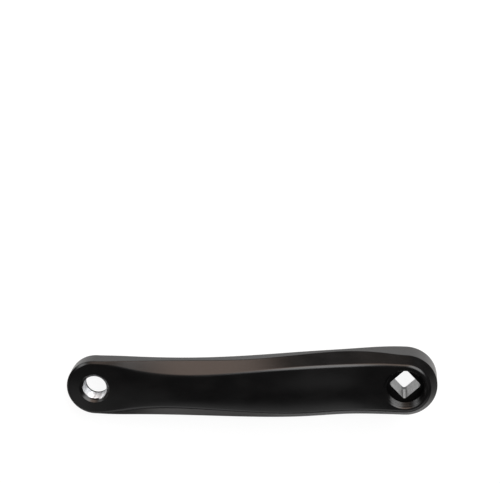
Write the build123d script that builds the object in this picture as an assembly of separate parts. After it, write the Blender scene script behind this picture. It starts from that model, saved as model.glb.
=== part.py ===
from build123d import *
import os
from dataclasses import dataclass
from math import asin, atan2, degrees, hypot, radians, tan

# A left-hand bicycle crank arm, forged in one piece, for a square taper spindle.
# It is drawn in its own axes, with the spindle along +Z and the pedal eye along +X,
# and is then laid on its back as it comes to rest on a table. Sizes are in millimetres.

# Main sizes
CRANK_LENGTH = 170.0        # spindle axis to pedal axis
PEDAL_OFFSET = 46.8         # boss back face to the middle of the eye's outer face, along the spindle

# Boss, round the spindle
BOSS_THICKNESS = 26.1       # back face to the middle of the front face
BOSS_RADIUS = 17.9          # side wall
BOSS_WALL_FOOT = 4.0        # height of the blade's back at the boss
BOSS_EDGE_INSET = 4.2       # width of the sloped shoulder round the front face
BOSS_EDGE_DROP = 6.1        # depth of that shoulder
BOSS_EDGE_ROUND = 3.0       # rounding from that shoulder to the front face

# Hub, the round foot that stands out behind the boss
HUB_STEP = 4.0              # how far the hub is set in from the boss's side wall
HUB_DRAFT = 5.0             # degrees
HUB_CHAMFER = 0.8
HUB_ROOT_ROUND = 1.0

# Pedal eye
EYE_RADIUS = 15.5
EYE_THICKNESS = 12.8
EYE_EDGE_INSET = 1.4        # width of the sloped edge round the outer face
EYE_EDGE_DROP = 1.0         # depth of that edge
EYE_EDGE_ROUND = 1.0        # rounding from that edge to the outer face

# Blade, from boss to eye
BLADE_SWELL = 1.6           # bulge of each side past a straight taper, at its fullest
SHOULDER_WIDTH = 6.8        # sloped shoulder, at its widest
FACE_CROWN = 1.5            # rise of the outer face's middle above its edges, at its highest
FACE_ROUND = 5.0            # rounding from shoulder to outer face, at its softest
END_CROWN = 0.8             # the same rise at the boss and the eye
WALL_ROUND = 0.7            # rounding from side wall to shoulder
BACK_BEVEL = 1.6            # bevel from the back to the side walls
BACK_EASE = 1.6             # rounding of that bevel's two edges

# Square taper socket
SQUARE_ACROSS_FLATS = 12.7  # at the narrow, outer end
SQUARE_TAPER = 2.0          # degrees, each side
SQUARE_CORNER_ROUND = 1.5

# Extractor thread, M22 x 1, round the crank bolt
EXTRACTOR_DIAMETER = 22.0
EXTRACTOR_DEPTH = 8.1
EXTRACTOR_CHAMFER = 0.4     # at the lowest part of the mouth's rim

# Pedal thread, 9/16 inch, 20 to the inch, left hand
PEDAL_THREAD_DIAMETER = 14.29
PEDAL_FRONT_CHAMFER = 0.6   # at the lowest part of the mouth's rim
PEDAL_BACK_CHAMFER = 0.7

# Working allowances
CUT_CLEARANCE = 1.0         # how far a cutter runs past the highest place of the face that it cuts
SEAM_REACH = 0.02           # how near an edge lies to a surface that it belongs to

# Heights and reaches that follow from these
BOSS_FACE_EDGE = BOSS_THICKNESS - END_CROWN
BOSS_WALL_TOP = BOSS_FACE_EDGE - BOSS_EDGE_DROP
HUB_RADIUS = BOSS_RADIUS - HUB_STEP
EYE_FACE_EDGE = PEDAL_OFFSET - END_CROWN
EYE_BACK = PEDAL_OFFSET - EYE_THICKNESS
SOCKET_LENGTH = BOSS_THICKNESS - EXTRACTOR_DEPTH
CUT_PAST = FACE_CROWN + CUT_CLEARANCE


@dataclass(frozen=True)
class Section:
    """A cross-section of the blade, square to the line from spindle to pedal."""

    along: float            # share of the crank length
    half_width: float       # centre plane to side wall
    back: float             # height of the flat back
    wall_top: float         # height of the side wall's outer edge
    face: float             # height of the outer face's edge
    face_half_width: float  # centre plane to that edge
    crown: float            # rise of the outer face's middle
    face_round: float       # rounding from shoulder to outer face


def climb(foot, top, share):
    """A size that lies a share of the way from the boss's to the eye's."""
    return foot + (top - foot) * share


def between(along, swell, back, face, wall, shoulder, crown, soft):
    """A section between the boss and the eye, each of its sizes a share of a named one."""
    half_width = climb(BOSS_RADIUS, EYE_RADIUS, along) + BLADE_SWELL * swell
    back_height = climb(BOSS_WALL_FOOT, EYE_BACK, back)
    face_height = climb(BOSS_FACE_EDGE, EYE_FACE_EDGE, face)
    return Section(
        along, half_width, back_height, climb(back_height, face_height, wall), face_height,
        half_width - SHOULDER_WIDTH * shoulder, FACE_CROWN * crown, FACE_ROUND * soft,
    )


BOSS = Section(
    along=0.0, half_width=BOSS_RADIUS, back=BOSS_WALL_FOOT, wall_top=BOSS_WALL_TOP, face=BOSS_FACE_EDGE,
    face_half_width=BOSS_RADIUS - BOSS_EDGE_INSET, crown=END_CROWN, face_round=BOSS_EDGE_ROUND,
)
EYE = Section(
    along=1.0, half_width=EYE_RADIUS, back=EYE_BACK, wall_top=EYE_FACE_EDGE - EYE_EDGE_DROP, face=EYE_FACE_EDGE,
    face_half_width=EYE_RADIUS - EYE_EDGE_INSET, crown=END_CROWN, face_round=EYE_EDGE_ROUND,
)
BLADE = (
    BOSS,
    between(along=0.07, swell=0.42, back=0.09, face=0.0, wall=0.641, shoulder=0.69, crown=0.7, soft=0.61),
    between(along=0.18, swell=0.90, back=0.32, face=0.106, wall=0.431, shoulder=0.79, crown=1.0, soft=0.61),
    between(along=0.32, swell=0.98, back=0.55, face=0.415, wall=0.448, shoulder=0.75, crown=1.0, soft=0.61),
    between(along=0.50, swell=0.31, back=0.76, face=0.73, wall=0.575, shoulder=0.79, crown=0.85, soft=0.64),
    between(along=0.70, swell=0.05, back=0.955, face=0.95, wall=0.506, shoulder=1.0, crown=0.7, soft=0.84),
    between(along=0.87, swell=0.05, back=1.0, face=0.99, wall=0.727, shoulder=0.705, crown=0.6, soft=1.0),
    between(along=0.955, swell=0.05, back=1.0, face=1.0, wall=0.883, shoulder=0.305, crown=0.55, soft=0.63),
    EYE,
)


def round_corners(outline, across, height, radius):
    """Rounds the corner at a place in a section, and its mirror image."""
    for side in (across, -across):
        corner = outline.vertices().sort_by_distance((side, height))[0]
        outline = fillet(corner, radius)
    return outline


def outline_of(section):
    """The closed outline of a section, with rounded edges."""
    wide, narrow = section.half_width, section.face_half_width
    foot, flat = section.back + BACK_BEVEL, section.half_width - BACK_BEVEL
    below = Polyline(
        (-narrow, section.face), (-wide, section.wall_top), (-wide, foot), (-flat, section.back),
        (flat, section.back), (wide, foot), (wide, section.wall_top), (narrow, section.face),
    )
    above = Bezier((narrow, section.face), (0, section.face + 2 * section.crown), (-narrow, section.face))
    outline = make_face(below.edges() + above.edges())
    outline = round_corners(outline, narrow, section.face, section.face_round)
    outline = round_corners(outline, wide, section.wall_top, WALL_ROUND)
    outline = round_corners(outline, wide, foot, BACK_EASE)
    return round_corners(outline, flat, section.back, BACK_EASE)


def stand(outline, section):
    """Stands an outline up across the arm, at its section's place along it."""
    return Plane.YZ.offset(section.along * CRANK_LENGTH) * outline


def round_end(section, turn):
    """Half a turn of a section about its own upright axis, to close one end of the arm."""
    tall = 2 * (section.face + section.crown)
    half_plane = Rectangle(2 * section.half_width, tall, align=(Align.MIN, Align.CENTER))
    half = stand(outline_of(section) & half_plane, section)
    upright = Axis((section.along * CRANK_LENGTH, 0, 0), (0, 0, turn))
    return revolve(half, upright, 180)


def make_blade():
    """The forged arm from its round boss end to its round eye end."""
    middle = loft([stand(outline_of(section), section) for section in BLADE])
    return middle + round_end(BOSS, turn=1) + round_end(EYE, turn=-1)


def hub_radius(height):
    """The hub's radius at a height above its back face."""
    return HUB_RADIUS + height * tan(radians(HUB_DRAFT))


def make_hub():
    """The drafted foot behind the boss, sunk into the blade."""
    top = BOSS_WALL_TOP
    hub = Cone(HUB_RADIUS, hub_radius(top), top, align=(Align.CENTER, Align.CENTER, Align.MIN))
    return chamfer(hub.edges().sort_by(Axis.Z)[0], HUB_CHAMFER)


def leaves_hub(edge):
    """True for an edge that runs round the hub's side, where the blade leaves it."""
    points = [edge @ share for share in (0.1, 0.5, 0.9)]
    on_side = all(abs(hypot(p.X, p.Y) - hub_radius(p.Z)) < SEAM_REACH for p in points)
    return on_side and edge.geom_type != GeomType.LINE and min(p.Z for p in points) > HUB_CHAMFER + SEAM_REACH


def make_socket():
    """The cutter for the tapered square, wider towards the back."""
    def square(height):
        """The square at a height, corners along and across the arm."""
        side = SQUARE_ACROSS_FLATS + 2 * (SOCKET_LENGTH - height) * tan(radians(SQUARE_TAPER))
        return Pos(0, 0, height) * Rot(0, 0, 45) * RectangleRounded(side, side, SQUARE_CORNER_ROUND)

    return loft([square(-CUT_PAST), square(SOCKET_LENGTH + CUT_PAST)])


def make_bore(diameter, low, high):
    """An upright round cutter between two heights."""
    return Pos(0, 0, low) * Cylinder(diameter / 2, high - low, align=(Align.CENTER, Align.CENTER, Align.MIN))


def make_mouth(diameter, chamfer_width, height, outward):
    """A cutter for the chamfer at a bore's mouth; outward is +1 at the front, -1 at the back."""
    inner = diameter / 2
    outer = inner + chamfer_width + CUT_PAST
    deep = height - outward * chamfer_width
    past = height + outward * CUT_PAST
    profile = Polyline((0, deep), (inner, deep), (outer, past), (0, past), close=True)
    return revolve(Plane.XZ * make_face(profile), Axis.Z)


def make_arm():
    """The finished arm in its own axes."""
    arm = make_blade() + make_hub()
    arm = fillet(arm.edges().filter_by(leaves_hub), HUB_ROOT_ROUND)
    arm -= make_socket()
    arm -= make_bore(EXTRACTOR_DIAMETER, SOCKET_LENGTH, BOSS_THICKNESS + CUT_PAST)
    arm -= make_mouth(EXTRACTOR_DIAMETER, EXTRACTOR_CHAMFER, BOSS_FACE_EDGE, 1)
    pedal_axis = Pos(CRANK_LENGTH, 0, 0)
    arm -= pedal_axis * make_bore(PEDAL_THREAD_DIAMETER, EYE_BACK - CUT_PAST, PEDAL_OFFSET + CUT_PAST)
    arm -= pedal_axis * make_mouth(PEDAL_THREAD_DIAMETER, PEDAL_FRONT_CHAMFER, EYE_FACE_EDGE, 1)
    arm -= pedal_axis * make_mouth(PEDAL_THREAD_DIAMETER, PEDAL_BACK_CHAMFER, EYE_BACK, -1)
    return arm


def rest_tilt():
    """The lean, in degrees, that brings the hub's rim and the eye's back edge to one level."""
    hub_rim = HUB_RADIUS - HUB_CHAMFER
    eye_rim = CRANK_LENGTH + EYE_RADIUS - BACK_BEVEL - BACK_EASE * tan(radians(45 / 2))
    along = eye_rim - hub_rim
    rise = EYE_BACK + BACK_EASE
    return degrees(atan2(rise, along) - asin(BACK_EASE / hypot(along, rise)))


os.makedirs("parts", exist_ok=True)
crank_arm = Rot(0, rest_tilt(), 0) * make_arm()
export_step(crank_arm, "parts/crank_arm.step")
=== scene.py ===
import math
from dataclasses import dataclass
import bmesh
import bpy
import numpy as np
from mathutils import Matrix, Vector


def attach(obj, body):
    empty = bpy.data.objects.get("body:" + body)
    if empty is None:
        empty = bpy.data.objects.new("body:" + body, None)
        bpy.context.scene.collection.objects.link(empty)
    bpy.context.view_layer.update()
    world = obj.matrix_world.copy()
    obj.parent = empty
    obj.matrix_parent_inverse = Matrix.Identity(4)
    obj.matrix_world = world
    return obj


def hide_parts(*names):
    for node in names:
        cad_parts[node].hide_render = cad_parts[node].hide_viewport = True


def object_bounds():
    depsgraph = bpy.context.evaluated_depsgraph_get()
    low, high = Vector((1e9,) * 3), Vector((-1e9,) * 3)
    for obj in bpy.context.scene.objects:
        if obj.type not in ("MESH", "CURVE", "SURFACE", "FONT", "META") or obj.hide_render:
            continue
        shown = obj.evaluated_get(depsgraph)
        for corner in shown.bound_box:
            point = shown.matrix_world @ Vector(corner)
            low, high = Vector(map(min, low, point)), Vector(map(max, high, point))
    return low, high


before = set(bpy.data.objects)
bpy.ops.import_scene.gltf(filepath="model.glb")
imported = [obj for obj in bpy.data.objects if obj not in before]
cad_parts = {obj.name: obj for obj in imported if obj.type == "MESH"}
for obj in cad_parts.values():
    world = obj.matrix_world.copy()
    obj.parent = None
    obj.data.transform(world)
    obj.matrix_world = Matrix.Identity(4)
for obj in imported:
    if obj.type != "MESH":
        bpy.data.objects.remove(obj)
cad_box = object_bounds()

# Sizes of the arm, in millimetres, as in the part's source
CRANK_LENGTH = 170.0
PEDAL_OFFSET = 46.8
BOSS_THICKNESS = 26.1
BOSS_RADIUS = 17.9
BOSS_WALL_FOOT = 4.0
BOSS_EDGE_INSET = 4.2
BOSS_EDGE_DROP = 6.1
BOSS_EDGE_ROUND = 3.0
HUB_RADIUS = 13.9
HUB_DRAFT = math.radians(5.0)
HUB_CHAMFER = 0.8
HUB_ROOT_ROUND = 1.0
EYE_RADIUS = 15.5
EYE_BACK = 34.0
EYE_EDGE_INSET = 1.4
EYE_EDGE_DROP = 1.0
EYE_EDGE_ROUND = 1.0
BLADE_SWELL = 1.6
SHOULDER_WIDTH = 6.8
FACE_CROWN = 1.5
FACE_ROUND = 5.0
END_CROWN = 0.8
WALL_ROUND = 0.7
BACK_BEVEL = 1.6
BACK_EASE = 1.6
SQUARE_ACROSS_FLATS = 12.7
SQUARE_TAPER = math.radians(2.0)
SQUARE_CORNER_ROUND = 1.5
EXTRACTOR_RADIUS = 11.0
EXTRACTOR_FLOOR = 18.0
EXTRACTOR_CHAMFER = 0.4
PEDAL_RADIUS = 7.145
PEDAL_FRONT_CHAMFER = 0.6
PEDAL_BACK_CHAMFER = 0.7
BOSS_FACE_EDGE = BOSS_THICKNESS - END_CROWN
EYE_FACE_EDGE = PEDAL_OFFSET - END_CROWN

# Threads, which the solid leaves plain, with how steeply their crests grow from the low end
PEDAL_PITCH = 1.27
PEDAL_THREAD_DEPTH = 0.69
PEDAL_RUN_IN = 1.0
EXTRACTOR_PITCH = 1.0
EXTRACTOR_THREAD_DEPTH = 0.54
EXTRACTOR_RUN_IN = 2.0
EXTRACTOR_RUN_OUT = 0.3
RIGHT_HAND, LEFT_HAND = 1, -1

# One turn of a thread, as shares of its pitch and of its depth
THREAD_FORM = ((0.0, 0.0), (0.14, 0.0), (0.37, 0.85), (0.44, 1.0), (0.70, 1.0), (0.77, 0.85))

# How far the paint reaches into the pedal thread from its two ends
PEDAL_PAINT_FRONT = 0.55
PEDAL_PAINT_BACK = 1.7

# The height at which the painted highlight strip in the socket's corners ends, and the length over which it
# fades; below it only the painted shade along the corners stays
PAINTED_HIGHLIGHT_END = 2.5
PAINTED_HIGHLIGHT_FADE = 3.0

# How finely the mesh is divided
STEPS_ALONG = 204
STEPS_ACROSS = 24
STEPS_ROUND_END = 64
STEPS_ROUND_EDGES = (14, 6, 6, 6)
STEPS_BETWEEN_EDGES = (8, 6, 2)
STEPS_ROUND_HUB_ROOT = 6
STEPS_DOWN_SOCKET = 12
SQUARE_CROWDING = 0.75

# Where the blade's rows give way to rings round the boss and the eye
CUT_AT_BOSS = 22.0
CUT_AT_EYE = 151.0

# Rings between two lines, as shares of the way from one to the other
BOSS_FACE_RINGS = (0.2, 0.4, 0.6, 0.8)
BOSS_BACK_RINGS = (0.67, 0.33)
HUB_SIDE_RINGS = (0, 0.33, 0.67)
EYE_RINGS = (0.18, 0.38, 0.56, 0.72, 0.85, 0.94)

# Turns of thread that start below the bore, and all turns beyond its length, before its ends trim them
TURNS_BELOW = 2
TURNS_SPARE = 5

# Rounds of mending after which a guess no longer changes
SETTLING_ROUNDS = 8

# Points closer than this become one, and edges that turn by more than this stay sharp
WELD_REACH = 0.0005
SHARP_TURN = math.radians(32)

# The skin is finer than the solid's facets, and this keeps it inside them
SNUG = 0.9997

# Metres in a millimetre
MM = 0.001

# Finishes, in the order of the arm's materials
PAINT, THREAD, SOCKET = 0, 1, 2

# The range that most values of a noise lie in
NOISE_RANGE = (0.3, 0.7)

# The paint, with its grains and the depths of its relief in millimetres
PAINT_DEEP = (0.0026, 0.0026, 0.0027, 1)
PAINT_PALE = (0.0046, 0.0045, 0.0046, 1)
PAINT_RUBBED = (0.07, 0.07, 0.07, 1)
PAINT_PATCHES = (16, 9, 9)
PAINT_PEEL = (1.1, 1.1, 1.1)
PAINT_GRAIN = (0.16, 0.16, 0.16)
PAINT_FLAKES = (1.6, 1.6, 0.8)
PAINT_ROUGHNESS = (0.17, 0.21)
GRAIN_ROUGHNESS = (0.0, 0.03)
RUBBED_ROUGHNESS = 0.2
RUBBED_RANGE = (0.36, 0.62)
PEEL_DEPTH = 0.003
GRAIN_DEPTH = 0.0006
PAINT_IOR = 1.42

# The cut metal of the pedal thread
THREAD_OILED = (0.60, 0.61, 0.63, 1)
THREAD_CLEAN = (0.90, 0.92, 0.94, 1)
THREAD_MARKS = (3.0, 3.0, 0.09)
THREAD_RUNS = (2.2, 2.2, 20.0)
THREAD_RUNS_RANGE = (0.36, 0.64)
THREAD_ROUGHNESS = (0.72, 0.56)
THREAD_MARKS_DEPTH = 0.004
THREAD_METALLIC = 1.0

# The broached metal of the socket, with the ranges of the corner mark that its painted shade and painted
# highlight strip take up; the bright tone serves both the clean metal and that painted highlight
SOCKET_DULL = (0.40, 0.40, 0.40, 1)
SOCKET_CLEAN_AND_HIGHLIGHT = (0.97, 0.97, 0.97, 1)
SOCKET_PAINTED_SHADE = (0.26, 0.26, 0.26, 1)
SOCKET_LINES = (0.30, 0.30, 30.0)
SOCKET_STAINS = (2.5, 2.5, 5.0)
SOCKET_LINES_TONE = (0.55, 1)
SOCKET_STAINS_TONE = (0.75, 1)
PAINTED_SHADE_RANGE = (0.15, 0.45)
PAINTED_HIGHLIGHT_RANGE = (0.60, 0.75)
SOCKET_ROUGHNESS = (0.16, 0.30)
SOCKET_LINES_DEPTH = 0.006
SOCKET_METALLIC = 0.9

# The camera, fitted to the photograph in the arm's own axes, in millimetres
CAMERA_PLACE = (22.9, -314.3, 766.8)
CAMERA_RIGHT = (-0.99561, -0.01697, -0.09203)
CAMERA_DOWN = (-0.04360, 0.95430, 0.29565)
CAMERA_LENS = 103.93
CAMERA_SENSOR = 36.0

# Soft lights: azimuth, elevation, half width, half height, softness of the edge, brightness, colour
WHITE = (1.0, 1.0, 1.0)
WARM = (1.0, 0.77, 0.65)
SOFTBOXES = (
    (-120, 42, 0.50, 0.56, 0.5, 5.5, WHITE),
    (-83, 26, 0.62, 0.45, 0.9, 3.55, WARM),
    (-40, 12, 0.42, 0.34, 1.0, 2.8, WHITE),
    (-32, 28, 0.30, 0.28, 1.0, 6.0, WHITE),
    (95, 31, 0.85, 0.42, 0.8, 1.25, WHITE),
    (48, 45, 0.32, 0.32, 1.0, 0.55, WHITE),
    (142, 67, 0.25, 0.26, 1.0, 0.36, WHITE),
)
SOFTBOX_DEPTH = 2
ROOM_TONE = 0.04

# The lamp, in metres, with the tone that it alone would give a white floor
KEY_TONE = 0.1
KEY_RISE = math.radians(20)
KEY_FAR = 1.5
KEY_ALONG = 0.09
KEY_SIZE = 0.7

# The floor, with its own tone, how bright the camera sees it, and how much of that is its own glow
FLOOR_REACH = 3.0
FLOOR_TONE = 0.86
FLOOR_SEEN = 1.06
FLOOR_GLOW = 0.92

# Pools of light painted on the floor as glow that shows only in the gloss: x, y, reach along, reach across,
# in metres
PAINTED_POOLS = (
    (0.09, -0.04, 0.40, 0.09),
    (-0.04, 0.02, 0.06, 0.05),
    (0.17, 0.13, 0.10, 0.09),
)
# How much a reflection sees of the floor's painted glow, against its plain lit tone
PAINTED_POOL_SHARE = 0.7


def climb(foot, top, share):
    """A size that lies a share of the way from one to another."""
    return foot + (top - foot) * share


def between(along, swell, back, face, wall, shoulder, crown, soft):
    """A section between the boss and the eye, each of its sizes a share of a named one."""
    half_width = climb(BOSS_RADIUS, EYE_RADIUS, along) + BLADE_SWELL * swell
    back_level = climb(BOSS_WALL_FOOT, EYE_BACK, back)
    face_level = climb(BOSS_FACE_EDGE, EYE_FACE_EDGE, face)
    wall_top = climb(back_level, face_level, wall)
    face_half_width = half_width - SHOULDER_WIDTH * shoulder
    return (
        along, half_width, back_level, wall_top, face_level,
        face_half_width, FACE_CROWN * crown, FACE_ROUND * soft,
    )


# Sections from boss to eye: place along, half width, back, wall top, face, its half width, crown, edge round
BLADE = np.array((
    (0.0, BOSS_RADIUS, BOSS_WALL_FOOT, BOSS_FACE_EDGE - BOSS_EDGE_DROP, BOSS_FACE_EDGE,
     BOSS_RADIUS - BOSS_EDGE_INSET, END_CROWN, BOSS_EDGE_ROUND),
    between(along=0.07, swell=0.42, back=0.09, face=0.0, wall=0.641, shoulder=0.69, crown=0.7, soft=0.61),
    between(along=0.18, swell=0.90, back=0.32, face=0.106, wall=0.431, shoulder=0.79, crown=1.0, soft=0.61),
    between(along=0.32, swell=0.98, back=0.55, face=0.415, wall=0.448, shoulder=0.75, crown=1.0, soft=0.61),
    between(along=0.50, swell=0.31, back=0.76, face=0.73, wall=0.575, shoulder=0.79, crown=0.85, soft=0.64),
    between(along=0.70, swell=0.05, back=0.955, face=0.95, wall=0.506, shoulder=1.0, crown=0.7, soft=0.84),
    between(along=0.87, swell=0.05, back=1.0, face=0.99, wall=0.727, shoulder=0.705, crown=0.6, soft=1.0),
    between(along=0.955, swell=0.05, back=1.0, face=1.0, wall=0.883, shoulder=0.305, crown=0.55, soft=0.63),
    (1.0, EYE_RADIUS, EYE_BACK, EYE_FACE_EDGE - EYE_EDGE_DROP, EYE_FACE_EDGE,
     EYE_RADIUS - EYE_EDGE_INSET, END_CROWN, EYE_EDGE_ROUND),
))


def rest_tilt():
    """The lean that brings the hub's rim and the eye's back edge to one level."""
    eye_rim = CRANK_LENGTH + EYE_RADIUS - BACK_BEVEL - BACK_EASE * math.tan(math.pi / 8)
    along = eye_rim - (HUB_RADIUS - HUB_CHAMFER)
    rise = EYE_BACK + BACK_EASE
    return math.atan2(rise, along) - math.asin(BACK_EASE / math.hypot(along, rise))


def smooth_through(knots, values, places):
    """A cubic spline through rows of values, level at both ends."""
    gaps = np.diff(knots)
    slopes = np.diff(values, axis=0) / gaps[:, None]
    system = np.zeros((len(knots), len(knots)))
    right = np.zeros_like(values)
    for i in range(1, len(knots) - 1):
        system[i, i - 1:i + 2] = gaps[i - 1], 2 * (gaps[i - 1] + gaps[i]), gaps[i]
        right[i] = 6 * (slopes[i] - slopes[i - 1])
    system[0, :2] = 2 * gaps[0], gaps[0]
    system[-1, -2:] = gaps[-1], 2 * gaps[-1]
    right[0] = 6 * slopes[0]
    right[-1] = -6 * slopes[-1]
    bends = np.linalg.solve(system, right)
    i = np.clip(np.searchsorted(knots, places) - 1, 0, len(gaps) - 1)
    gap = gaps[i][:, None]
    before = (knots[i + 1] - places)[:, None]
    after = (places - knots[i])[:, None]
    return (
        (bends[i] * before ** 3 + bends[i + 1] * after ** 3) / (6 * gap)
        + (values[i] / gap - bends[i] * gap / 6) * before
        + (values[i + 1] / gap - bends[i + 1] * gap / 6) * after
    )


def cross(a, b):
    """The cross product of two flat vectors."""
    return a[0] * b[1] - a[1] * b[0]


def arc_at(corner, before, after, radius, steps):
    """Points of the arc that rounds a corner between two neighbouring points."""
    a = np.subtract(before, corner) / np.linalg.norm(np.subtract(before, corner))
    b = np.subtract(after, corner) / np.linalg.norm(np.subtract(after, corner))
    half = math.acos(np.clip(a @ b, -1, 1)) / 2
    middle = corner + (a + b) / np.linalg.norm(a + b) * radius / math.sin(half)
    start = corner + a * radius / math.tan(half) - middle
    turn = math.pi - 2 * half
    hand = 1 if cross(start, b) > 0 else -1
    points = []
    for angle in np.linspace(0, hand * turn, steps + 1):
        c, s = math.cos(angle), math.sin(angle)
        points.append(middle + (c * start[0] - s * start[1], s * start[0] + c * start[1]))
    return np.array(points)


def rounded(corners, radii, arc_steps, run_steps):
    """A line through corners, each rounded, from the first arc to the last."""
    arcs = [
        arc_at(np.array(corners[i + 1]), corners[i], corners[i + 2], radius, steps)
        for i, (radius, steps) in enumerate(zip(radii, arc_steps))
    ]
    line = [arcs[0]]
    for last, arc, steps in zip(arcs, arcs[1:], run_steps):
        shares = np.linspace(0, 1, steps + 1)[1:-1, None]
        line += [last[-1] + (arc[0] - last[-1]) * shares, arc]
    return np.vstack(line)


def face_corner(narrow, face, crown, shoulder, radius):
    """Where the crowned face's tangent, at the end of its rounding, meets the shoulder; and that tangent."""
    edge = narrow
    for _ in range(SETTLING_ROUNDS):
        start = np.array((edge, face + crown * (1 - (edge / narrow) ** 2)))
        tangent = np.array((1, -2 * crown * edge / narrow ** 2))
        gap = np.array((narrow, face)) - start
        corner = start + tangent * cross(gap, shoulder) / cross(tangent, shoulder)
        turn = math.atan2(tangent[1], tangent[0]) - math.atan2(shoulder[1], shoulder[0])
        edge = corner[0] - radius * math.tan(turn / 2) / math.hypot(*tangent)
    return corner, tangent


def half_profile(section):
    """Half a cross-section, from the outer face's edge round to the flat back's edge."""
    wide, back, wall_top, face, narrow, crown, face_round = section
    corner, tangent = face_corner(narrow, face, crown, (wide - narrow, wall_top - face), face_round)
    corners = (
        corner - tangent, corner, (wide, wall_top),
        (wide, back + BACK_BEVEL), (wide - BACK_BEVEL, back), (0, back),
    )
    radii = (face_round, WALL_ROUND, BACK_EASE, BACK_EASE)
    return rounded(corners, radii, STEPS_ROUND_EDGES, STEPS_BETWEEN_EDGES)


# The blade at every step along it, and the columns of its sections that give the outer face
STATIONS = np.linspace(0, CRANK_LENGTH, STEPS_ALONG + 1)
SECTIONS = smooth_through(BLADE[:, 0] * CRANK_LENGTH, BLADE[:, 1:], STATIONS)
PROFILES = np.array([half_profile(section) for section in SECTIONS])
FACE_COLUMNS = slice(3, 6)


def face_height(x, y):
    """Height of the outer face, which is crowned across the arm and round at its ends."""
    along = np.clip(x, 0, CRANK_LENGTH)
    across = np.hypot(x - along, y)
    face, narrow, crown = (np.interp(along, STATIONS, column) for column in SECTIONS.T[FACE_COLUMNS])
    return face + crown * (1 - (across / narrow) ** 2)


def back_height(x, y):
    """Height of the flat back, which climbs along the arm and is level across it."""
    return np.interp(np.clip(x, 0, CRANK_LENGTH), STATIONS, PROFILES[:, -1, 1])


class Skin:
    """A mesh that grows ring by ring."""

    def __init__(self):
        self.points = []
        self.faces = []
        self.finishes = []
        self.marks = {"rubbed": {}, "corner": {}}

    def add(self, points):
        """Adds points and returns their numbers."""
        first = len(self.points)
        self.points.extend(map(tuple, points))
        return list(range(first, len(self.points)))

    def bridge(self, a, b, finish, closed=True):
        """Joins two rows of points by a strip of faces."""
        for i in range(len(a) if closed else len(a) - 1):
            j = (i + 1) % len(a)
            self.faces.append((a[i], a[j], b[j], b[i]))
            self.finishes.append(finish)

    def rings(self, start, rings, finish):
        """Joins a row of points to ring after ring, and returns the last."""
        for ring in rings:
            numbers = self.add(ring)
            self.bridge(start, numbers, finish)
            start = numbers
        return start

    def mark(self, name, numbers, values):
        """Gives points values that a material reads, and returns the points."""
        self.marks[name].update(zip(numbers, np.broadcast_to(values, len(numbers))))
        return numbers

    def bare(self, first, low, high, finish):
        """Gives a finish to the faces from one on whose middles lie between two heights."""
        for i in range(first, len(self.faces)):
            if low < np.mean([self.points[p][2] for p in self.faces[i]]) < high:
                self.finishes[i] = finish


def round_end(centre, profile, first_angle):
    """The profiles round one end of the arm, between its two sides."""
    turned = []
    for share in np.linspace(0, 1, STEPS_ROUND_END + 1)[1:-1]:
        angle = first_angle - math.pi * share
        turned.append(np.column_stack((
            centre + profile[:, 0] * math.cos(angle), profile[:, 0] * math.sin(angle), profile[:, 1])))
    return turned


def side(sign):
    """The profiles along one side of the arm, from boss to eye."""
    return [
        np.column_stack((np.full(len(profile), x), sign * profile[:, 0], profile[:, 1]))
        for x, profile in zip(STATIONS, PROFILES)
    ]


def lay_panel(skin, rims, height):
    """Fills the face or back between the two cuts, and returns its first and last rows."""
    rows = []
    for near, far in rims:
        a, b = np.array(skin.points[near]), np.array(skin.points[far])
        shares = np.linspace(0, 1, STEPS_ACROSS + 1)[1:-1]
        x = np.full(len(shares), a[0])
        y = a[1] + (b[1] - a[1]) * shares
        rows.append([near] + skin.add(np.column_stack((x, y, height(x, y)))) + [far])
    for a, b in zip(rows, rows[1:]):
        skin.bridge(a, b, PAINT, closed=False)
    return rows[0], rows[-1]


def lay_blade(skin, rim, height):
    """Fills the blade's face or back inside a rim. Returns the loops left open at the boss and the eye."""
    boss_cut = int(np.searchsorted(STATIONS, CUT_AT_BOSS))
    eye_cut = int(np.searchsorted(STATIONS, CUT_AT_EYE))
    far_end = 2 * STEPS_ALONG + STEPS_ROUND_END
    rims = [(rim[i], rim[far_end - i]) for i in range(boss_cut, eye_cut + 1)]
    boss_row, eye_row = lay_panel(skin, rims, height)
    boss_loop = rim[far_end - boss_cut:] + rim[:boss_cut + 1] + boss_row[1:-1]
    eye_loop = rim[eye_cut:far_end - eye_cut + 1] + eye_row[-2:0:-1]
    return boss_loop, eye_loop


def angles_of(skin, loop, centre):
    """The angle of each point of a loop about an upright axis."""
    points = np.array([skin.points[i] for i in loop])
    return np.arctan2(points[:, 1], points[:, 0] - centre)


def funnel(skin, loop, rim, height, shares):
    """Rings that lead from a loop on the face or back towards a round rim."""
    start = np.array([skin.points[i] for i in loop])
    rings = []
    for share in shares:
        x, y = (start[:, :2] + (rim[:, :2] - start[:, :2]) * share).T
        rings.append(np.column_stack((x, y, height(x, y))))
    return rings


def ring(centre, angles, radius, height):
    """A ring about an upright axis, with one radius and height or with one of each for every angle."""
    radius = np.broadcast_to(radius, angles.shape)
    height = np.broadcast_to(height, angles.shape)
    return np.column_stack((centre + radius * np.cos(angles), radius * np.sin(angles), height))


def mouth_ring(centre, angles, radius, low):
    """The rim where a bore's 45 degree mouth, which starts at a height, meets the crowned face."""
    reach = np.full(len(angles), radius)
    for _ in range(SETTLING_ROUNDS):
        rim = ring(centre, angles, reach, low)
        rim[:, 2] = face_height(rim[:, 0], rim[:, 1])
        reach = radius + rim[:, 2] - low
    return rim


@dataclass(frozen=True)
class Thread:
    """A thread in an upright bore."""

    centre: float           # place along the arm
    radius: float           # of the bore, at the thread's root
    depth: float            # root to crest
    pitch: float
    low: float
    high: float
    hand: int               # right or left
    run_in: float           # how steeply the crest grows from the low end


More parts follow.
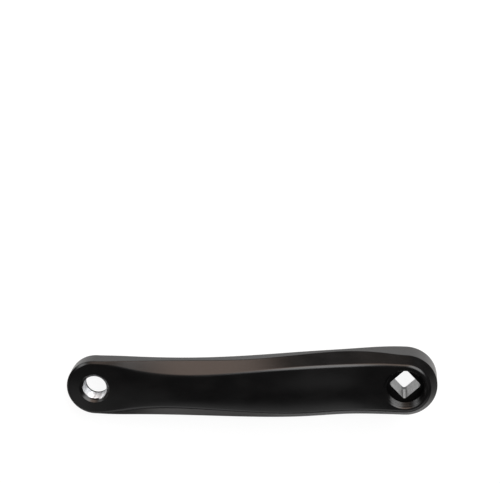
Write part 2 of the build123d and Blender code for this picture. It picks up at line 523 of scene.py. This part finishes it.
def thread_column(thread, angle, lift):
    """The thread's outline up its bore at one angle, lifted by a part of a turn."""
    column = []
    for turn in range(int((thread.high - thread.low) / thread.pitch + TURNS_SPARE)):
        for phase, share in THREAD_FORM:
            z = thread.low + thread.pitch * (turn - TURNS_BELOW + phase + lift)
            z = min(max(z, thread.low), thread.high)
            crest = min(thread.depth * share, thread.high - z, thread.run_in * (z - thread.low))
            radius = thread.radius - crest
            column.append((thread.centre + radius * math.cos(angle), radius * math.sin(angle), z))
    return column


def lay_thread(skin, thread, angles):
    """A helical thread, run out to the full bore at its ends."""
    swept = np.unwrap(angles) - angles[0]
    lead = thread.hand * int(np.sign(swept[1]))
    lifts = lead * np.abs(swept) / (2 * math.pi)
    columns = [skin.add(thread_column(thread, angle, lift)) for angle, lift in zip(angles, lifts)]
    for a, b in zip(columns, columns[1:]):
        skin.bridge(a, b, PAINT, closed=False)
    first = columns[0]
    shift = lead * len(THREAD_FORM)
    wrapped = [first[min(max(i + shift, 0), len(first) - 1)] for i in range(len(first))]
    skin.bridge(columns[-1], wrapped, PAINT, closed=False)


def crowd(angles):
    """Angles drawn towards the socket's corners, and how far each is from the middle of its flat."""
    crowded = angles - SQUARE_CROWDING / 4 * np.sin(4 * angles)
    return crowded, np.mod(crowded, math.pi / 2) - math.pi / 4


def painted_corner_marks(angles, height):
    """How deep in a corner of the socket each point lies, from 0 to 1, or to a half near its back, which
    places the painted highlight strip in the corner and painted shade along its sides and near the back.
    """
    half = SQUARE_ACROSS_FLATS / 2
    rounding = math.pi / 4 - math.atan((half - SQUARE_CORNER_ROUND) / half)
    lean = math.pi / 4 - np.abs(crowd(angles)[1])
    bright = np.clip((height - PAINTED_HIGHLIGHT_END) / PAINTED_HIGHLIGHT_FADE, 0, 1)
    return np.clip(1 - lean / (2 * rounding), 0, (1 + bright) / 2)


def square_ring(angles, height):
    """The rounded square socket at a height, with more points round its corners."""
    half = SQUARE_ACROSS_FLATS / 2 + (EXTRACTOR_FLOOR - height) * math.tan(SQUARE_TAPER)
    crowded, from_flat = crowd(angles)
    on_flat = half / np.cos(from_flat)
    inner = half - SQUARE_CORNER_ROUND
    lean = math.pi / 4 - np.abs(from_flat)
    reach = inner * math.sqrt(2)
    beyond = np.sqrt(np.maximum(SQUARE_CORNER_ROUND ** 2 - (reach * np.sin(lean)) ** 2, 0))
    on_corner = reach * np.cos(lean) + beyond
    radius = np.where(half * np.tan(np.abs(from_flat)) <= inner, on_flat, on_corner)
    return ring(0, crowded, radius, height)


def hub_column(angle):
    """Radii and heights up the hub at one angle, from its back face to the blade's back."""
    def ground(radius):
        return float(back_height(radius * math.cos(angle), 0))

    flare = math.tan(HUB_DRAFT)
    seam = HUB_RADIUS
    for _ in range(SETTLING_ROUNDS):
        seam = HUB_RADIUS + ground(seam) * flare
    corner = np.array((seam, ground(seam)))
    out = (seam + 1, ground(seam + 1))
    chamfer_top = HUB_CHAMFER * math.cos(HUB_DRAFT)
    foot = (HUB_RADIUS + chamfer_top * flare, chamfer_top)
    root = arc_at(corner, foot, out, HUB_ROOT_ROUND, STEPS_ROUND_HUB_ROOT)
    side_run = [np.add(foot, np.subtract(root[0], foot) * share) for share in HUB_SIDE_RINGS]
    return [(HUB_RADIUS - HUB_CHAMFER, 0.0)] + side_run + list(root)


def hub_rings(angles):
    """Rings from the hub's back face up its side and round its root to the blade's back."""
    columns = np.array([hub_column(angle) for angle in angles])
    return [ring(0, angles, radii, heights) for radii, heights in columns.transpose(1, 2, 0)]


def lay_eye(skin, front, back):
    """The pedal eye: its two faces, the chamfers and the left-hand thread."""
    angles = angles_of(skin, front, CRANK_LENGTH)
    high = EYE_FACE_EDGE - PEDAL_FRONT_CHAMFER
    low = EYE_BACK + PEDAL_BACK_CHAMFER
    mouth = mouth_ring(CRANK_LENGTH, angles, PEDAL_RADIUS, high)
    rings = funnel(skin, front, mouth, face_height, EYE_RINGS)
    skin.rings(front, rings + [mouth, ring(CRANK_LENGTH, angles, PEDAL_RADIUS, high)], PAINT)
    mouth = ring(CRANK_LENGTH, angles, PEDAL_RADIUS + PEDAL_BACK_CHAMFER, EYE_BACK)
    rings = funnel(skin, back, mouth, back_height, EYE_RINGS)
    rim = skin.mark("rubbed", skin.rings(back, rings + [mouth], PAINT), 1.0)
    skin.rings(rim, [ring(CRANK_LENGTH, angles, PEDAL_RADIUS, low)], PAINT)
    thread = Thread(
        centre=CRANK_LENGTH, radius=PEDAL_RADIUS, depth=PEDAL_THREAD_DEPTH, pitch=PEDAL_PITCH,
        low=low, high=high, hand=LEFT_HAND, run_in=PEDAL_RUN_IN,
    )
    first = len(skin.faces)
    lay_thread(skin, thread, angles)
    skin.bare(first, low + PEDAL_PAINT_BACK, high - PEDAL_PAINT_FRONT, THREAD)


def lay_recess(skin, front, angles):
    """The extractor's threaded recess and its floor. Returns the socket's edge on that floor."""
    high = BOSS_FACE_EDGE - EXTRACTOR_CHAMFER
    low = EXTRACTOR_FLOOR + EXTRACTOR_RUN_OUT
    mouth = mouth_ring(0, angles, EXTRACTOR_RADIUS, high)
    rings = funnel(skin, front, mouth, face_height, BOSS_FACE_RINGS)
    skin.rings(front, rings + [mouth, ring(0, angles, EXTRACTOR_RADIUS, high)], PAINT)
    thread = Thread(
        centre=0, radius=EXTRACTOR_RADIUS, depth=EXTRACTOR_THREAD_DEPTH, pitch=EXTRACTOR_PITCH,
        low=low, high=high, hand=RIGHT_HAND, run_in=EXTRACTOR_RUN_IN,
    )
    lay_thread(skin, thread, angles)
    floor_edge = ring(0, angles, EXTRACTOR_RADIUS, EXTRACTOR_FLOOR)
    socket_edge = square_ring(angles, EXTRACTOR_FLOOR)
    start = skin.add(ring(0, angles, EXTRACTOR_RADIUS, low))
    return skin.rings(start, [floor_edge, (floor_edge + socket_edge) / 2, socket_edge], PAINT)


def lay_socket(skin, start, angles):
    """The tapered square socket, from its edge on the recess's floor. Returns its edge at the back."""
    # The corner marks place the socket's painted highlight strip and painted shade
    skin.mark("corner", start, painted_corner_marks(angles, EXTRACTOR_FLOOR))
    for height in np.linspace(EXTRACTOR_FLOOR, 0, STEPS_DOWN_SOCKET + 1)[1:]:
        start = skin.rings(start, [square_ring(angles, height)], SOCKET)
        skin.mark("corner", start, painted_corner_marks(angles, height))
    return start


def lay_hub(skin, start, back, angles):
    """The hub's back face and side, and the blade's back round it."""
    rings = hub_rings(angles)
    rings += funnel(skin, back, rings[-1], back_height, BOSS_BACK_RINGS)
    rim = skin.mark("rubbed", skin.rings(start, rings[:1], PAINT), 1.0)
    skin.bridge(skin.rings(rim, rings[1:], PAINT), back, PAINT)


def lay_boss(skin, front, back):
    """The boss: the extractor's recess, the square socket and the hub behind."""
    angles = angles_of(skin, front, 0)
    socket_edge = lay_recess(skin, front, angles)
    socket_end = lay_socket(skin, socket_edge, angles)
    lay_hub(skin, socket_end, back, angles)


def build_skin():
    """The whole surface of the arm, in its own axes and in millimetres."""
    skin = Skin()
    around = side(1) + round_end(CRANK_LENGTH, PROFILES[-1], math.pi / 2)
    around += side(-1)[::-1] + round_end(0, PROFILES[0], -math.pi / 2)
    bands = np.array([skin.add(profile) for profile in around]).T.tolist()
    for a, b in zip(bands, bands[1:]):
        skin.bridge(a, b, PAINT)
    boss_front, eye_front = lay_blade(skin, bands[0], face_height)
    boss_back, eye_back = lay_blade(skin, bands[-1], back_height)
    lay_eye(skin, eye_front, eye_back)
    lay_boss(skin, boss_front, boss_back)
    return skin


def arm_mesh(skin, materials):
    """The skin as one closed mesh with its finishes and marks, laid as the arm rests."""
    mesh = bpy.data.meshes.new("crank_arm_skin")
    mesh.from_pydata(skin.points, [], skin.faces)
    for material in materials:
        mesh.materials.append(material)
    mesh.polygons.foreach_set("material_index", skin.finishes)
    for name, marks in skin.marks.items():
        values = np.zeros(len(skin.points))
        values[list(marks)] = list(marks.values())
        mesh.attributes.new(name, "FLOAT", "POINT").data.foreach_set("value", values)
    shape = bmesh.new()
    shape.from_mesh(mesh)
    bmesh.ops.remove_doubles(shape, verts=shape.verts, dist=WELD_REACH)
    bmesh.ops.recalc_face_normals(shape, faces=shape.faces)
    shape.to_mesh(mesh)
    shape.free()
    mesh.transform(Matrix.Rotation(rest_tilt(), 4, "Y") @ Matrix.Scale(MM * SNUG, 4))
    mesh.shade_smooth()
    mesh.set_sharp_from_angle(angle=SHARP_TURN)
    return mesh


def make_arm(materials):
    """The finished arm, which stands for the solid."""
    arm = bpy.data.objects.new("crank_arm_forging", arm_mesh(build_skin(), materials))
    bpy.context.scene.collection.objects.link(arm)
    even = arm.modifiers.new("even_shading", "WEIGHTED_NORMAL")
    even.keep_sharp = True
    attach(arm, "root")
    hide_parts("crank_arm")


class Graph:
    """A node tree, with short ways to add nodes to it."""

    def __init__(self, tree):
        self.nodes = tree.nodes
        self.links = tree.links

    def feed(self, socket, value):
        """Sets an input from a plain value or from another node's output."""
        if isinstance(value, bpy.types.NodeSocket):
            self.links.new(value, socket)
        else:
            socket.default_value = value

    def add(self, kind, **inputs):
        """Adds a node and sets its inputs by name."""
        node = self.nodes.new("ShaderNode" + kind)
        for name, value in inputs.items():
            self.feed(node.inputs[name.replace("_", " ")], value)
        return node

    def join(self, kind, *values):
        """Adds a node, sets its inputs in order and returns its output."""
        node = self.nodes.new("ShaderNode" + kind)
        for socket, value in zip(node.inputs, values):
            self.feed(socket, value)
        return node.outputs[0]

    def math(self, operation, a, b):
        """A sum, product or the like of two values."""
        node = self.nodes.new("ShaderNodeMath")
        node.operation = operation
        self.feed(node.inputs[0], a)
        self.feed(node.inputs[1], b)
        return node.outputs[0]

    def spread(self, value, wanted=(0, 1), given=NOISE_RANGE):
        """Stretches the given range of a value to the wanted one, and keeps it in that."""
        node = self.add("MapRange", Value=value, From_Min=given[0], From_Max=given[1],
                        To_Min=wanted[0], To_Max=wanted[1])
        return node.outputs["Result"]

    def mix(self, share, a, b):
        """A colour between two."""
        node = self.nodes.new("ShaderNodeMix")
        node.data_type = "RGBA"
        for name, value in (("Factor", share), ("A", a), ("B", b)):
            self.feed(node.inputs[name], value)
        return node.outputs["Result"]

    def noise(self, grain, detail=2.0):
        """Noise with grains of a size along, across and up the arm, in millimetres."""
        coordinates = self.add("TexCoord").outputs["Object"]
        scale = [MM * size for size in grain]
        place = self.add("Mapping", Vector=coordinates, Rotation=(0, rest_tilt(), 0), Scale=scale)
        place.vector_type = "TEXTURE"
        return self.add("TexNoise", Vector=place.outputs[0], Scale=1.0, Detail=detail).outputs["Fac"]

    def mark(self, name):
        """The values that the mesh's points have under a name."""
        node = self.add("Attribute")
        node.attribute_name = name
        return node.outputs["Fac"]

    def bump(self, height, depth, under=None):
        """A surface normal roughened by a height, of a depth in millimetres, over another normal."""
        node = self.add("Bump", Height=height, Distance=MM * depth, Strength=1.0)
        if under:
            self.links.new(under, node.inputs["Normal"])
        return node.outputs["Normal"]


def shader_of(name):
    """A new node material, its graph and its main shader."""
    material = bpy.data.materials.new(name)
    material.use_nodes = True
    return material, Graph(material.node_tree), material.node_tree.nodes["Principled BSDF"]


def make_paint():
    """Gloss black paint with a fine orange peel, a slightly uneven gloss and rubbed rims."""
    material, graph, shader = shader_of("black_paint")
    patches = graph.noise(PAINT_PATCHES, detail=3)
    peel = graph.noise(PAINT_PEEL)
    grain = graph.noise(PAINT_GRAIN, detail=3)
    flakes = graph.noise(PAINT_FLAKES, detail=4)
    worn = graph.spread(graph.math("MULTIPLY", graph.mark("rubbed"), flakes), given=RUBBED_RANGE)
    colour = graph.mix(graph.spread(patches), PAINT_DEEP, PAINT_PALE)
    graph.feed(shader.inputs["Base Color"], graph.mix(worn, colour, PAINT_RUBBED))
    gloss = graph.math("ADD", graph.spread(patches, PAINT_ROUGHNESS), graph.spread(grain, GRAIN_ROUGHNESS))
    wear = graph.math("MULTIPLY", worn, RUBBED_ROUGHNESS)
    graph.feed(shader.inputs["Roughness"], graph.math("ADD", gloss, wear))
    graph.feed(shader.inputs["Normal"], graph.bump(grain, GRAIN_DEPTH, graph.bump(peel, PEEL_DEPTH)))
    shader.inputs["IOR"].default_value = PAINT_IOR
    return material


def make_thread_metal():
    """Freshly cut aluminium, bright, with tool marks round the thread and runs of oil along it."""
    material, graph, shader = shader_of("cut_metal")
    marks = graph.noise(THREAD_MARKS, detail=2)
    runs = graph.noise(THREAD_RUNS, detail=1)
    tone = graph.spread(runs, given=THREAD_RUNS_RANGE)
    graph.feed(shader.inputs["Base Color"], graph.mix(tone, THREAD_OILED, THREAD_CLEAN))
    graph.feed(shader.inputs["Roughness"], graph.spread(runs, THREAD_ROUGHNESS))
    graph.feed(shader.inputs["Normal"], graph.bump(marks, THREAD_MARKS_DEPTH))
    shader.inputs["Metallic"].default_value = THREAD_METALLIC
    return material


def make_socket_metal():
    """Broached aluminium, dulled to grey, with drag lines, and in each corner a painted highlight strip with
    painted shade along its sides.
    """
    material, graph, shader = shader_of("broached_metal")
    lines = graph.noise(SOCKET_LINES, detail=3)
    stains = graph.noise(SOCKET_STAINS, detail=2)
    corner = graph.mark("corner")
    drawn = graph.spread(lines, SOCKET_LINES_TONE)
    stained = graph.spread(stains, SOCKET_STAINS_TONE)
    colour = graph.mix(graph.math("MULTIPLY", drawn, stained), SOCKET_DULL, SOCKET_CLEAN_AND_HIGHLIGHT)
    # Painted shade along each corner's sides, then a painted highlight strip down its middle
    colour = graph.mix(graph.spread(corner, given=PAINTED_SHADE_RANGE), colour, SOCKET_PAINTED_SHADE)
    colour = graph.mix(graph.spread(corner, given=PAINTED_HIGHLIGHT_RANGE), colour, SOCKET_CLEAN_AND_HIGHLIGHT)
    graph.feed(shader.inputs["Base Color"], colour)
    graph.feed(shader.inputs["Roughness"], graph.spread(stains, SOCKET_ROUGHNESS))
    graph.feed(shader.inputs["Normal"], graph.bump(lines, SOCKET_LINES_DEPTH))
    shader.inputs["Metallic"].default_value = SOCKET_METALLIC
    return material


def make_camera():
    """The photograph's camera."""
    right = Vector(CAMERA_RIGHT).normalized()
    down = Vector(CAMERA_DOWN)
    down = (down - right * down.dot(right)).normalized()
    back = -right.cross(down)
    turned = Matrix((right, -down, back)).transposed().to_4x4()
    turned.translation = Vector(CAMERA_PLACE) * MM
    data = bpy.data.cameras.new("camera")
    data.lens = CAMERA_LENS
    data.sensor_width = CAMERA_SENSOR
    camera = bpy.data.objects.new("camera", data)
    camera.matrix_world = Matrix.Rotation(rest_tilt(), 4, "Y") @ turned
    bpy.context.scene.collection.objects.link(camera)
    bpy.context.scene.camera = camera


def add_ball(graph, place, reach, turn=(0, 0, 0), source="Generated"):
    """A value of 1 at a place that fades to 0 at an oval round it."""
    coordinates = graph.add("TexCoord").outputs[source]
    spot = graph.add("Mapping", Vector=coordinates, Location=place, Rotation=turn, Scale=reach)
    spot.vector_type = "TEXTURE"
    ball = graph.add("TexGradient", Vector=spot.outputs[0])
    ball.gradient_type = "SPHERICAL"
    return ball.outputs["Fac"]


def add_softbox(graph, azimuth, elevation, wide, tall, soft, brightness, colour):
    """A light far off in one direction, brightest in its middle and fading at its edges."""
    turn = (0, -math.radians(elevation), math.radians(azimuth))
    axis = Matrix.Rotation(turn[2], 3, "Z") @ Matrix.Rotation(turn[1], 3, "Y") @ Vector((1, 0, 0))
    ball = add_ball(graph, axis, (SOFTBOX_DEPTH, wide, tall), turn)
    fade = graph.add("MapRange", Value=ball, From_Max=soft, To_Max=brightness)
    fade.interpolation_type = "SMOOTHSTEP"
    return graph.add("Background", Color=(*colour, 1), Strength=fade.outputs["Result"]).outputs[0]


def make_world():
    """The studio: softboxes in a dim room, and white to the camera."""
    world = bpy.data.worlds.new("studio")
    world.use_nodes = True
    bpy.context.scene.world = world
    graph = Graph(world.node_tree)
    light = graph.add("Background", Color=(*WHITE, 1), Strength=ROOM_TONE).outputs[0]
    for softbox in SOFTBOXES:
        light = graph.join("AddShader", light, add_softbox(graph, *softbox))
    white = graph.add("Background", Color=(*WHITE, 1), Strength=1.0).outputs[0]
    seen = graph.add("LightPath").outputs["Is Camera Ray"]
    choice = graph.join("MixShader", seen, light, white)
    graph.links.new(choice, graph.nodes["World Output"].inputs["Surface"])


def make_floor_white(level):
    """White where the camera sees it, with painted pools of glow where the gloss mirrors it, and plain to
    other light.
    """
    material, graph, shader = shader_of("floor")
    graph.nodes.remove(shader)
    path = graph.add("LightPath").outputs
    direct = graph.math("MAXIMUM", path["Is Camera Ray"], path["Is Transmission Ray"])
    mirrored = graph.math("MULTIPLY", path["Is Glossy Ray"], PAINTED_POOL_SHARE)
    light = direct
    # Painted pools of glow, which reflections see on the floor
    for x, y, along, across in PAINTED_POOLS:
        painted_pool = add_ball(graph, (x, y, level), (along, across, 1), source="Object")
        light = graph.math("MAXIMUM", light, painted_pool)
    glow = graph.add("Emission", Strength=graph.math("MULTIPLY", light, FLOOR_GLOW)).outputs[0]
    rest = FLOOR_SEEN - FLOOR_GLOW
    faint = graph.add("BsdfDiffuse", Color=(rest, rest, rest, 1)).outputs[0]
    plain = graph.add("BsdfDiffuse", Color=(FLOOR_TONE, FLOOR_TONE, FLOOR_TONE, 1)).outputs[0]
    seen = graph.math("MAXIMUM", direct, mirrored)
    choice = graph.join("MixShader", seen, plain, graph.join("AddShader", faint, glow))
    graph.links.new(choice, graph.nodes["Material Output"].inputs["Surface"])
    return material


def make_floor(level):
    """A white floor that keeps the arm's soft shadow, with painted pools of light that show only in
    reflections.
    """
    mesh = bpy.data.meshes.new("floor")
    corners = ((-1, -1), (1, -1), (1, 1), (-1, 1))
    mesh.from_pydata([(x * FLOOR_REACH, y * FLOOR_REACH, level) for x, y in corners], [], [(0, 1, 2, 3)])
    mesh.materials.append(make_floor_white(level))
    floor = bpy.data.objects.new("floor", mesh)
    bpy.context.scene.collection.objects.link(floor)


def make_key():
    """A soft lamp to one side, for the floor and the paint's own colour, and left out of the gloss."""
    data = bpy.data.lights.new("key", "AREA")
    data.shape = "DISK"
    data.size = KEY_SIZE
    data.energy = KEY_TONE * math.pi ** 2 * KEY_FAR ** 2 / math.sin(KEY_RISE)
    lamp = bpy.data.objects.new("key", data)
    lamp.location = (KEY_ALONG, -KEY_FAR * math.cos(KEY_RISE), KEY_FAR * math.sin(KEY_RISE))
    lamp.rotation_euler = (math.pi / 2 - KEY_RISE, 0, 0)
    lamp.visible_glossy = False
    bpy.context.scene.collection.objects.link(lamp)


make_arm((make_paint(), make_thread_metal(), make_socket_metal()))
make_camera()
make_floor(level=cad_box[0][2])
make_world()
make_key()
bpy.context.scene.view_settings.view_transform = "Standard"
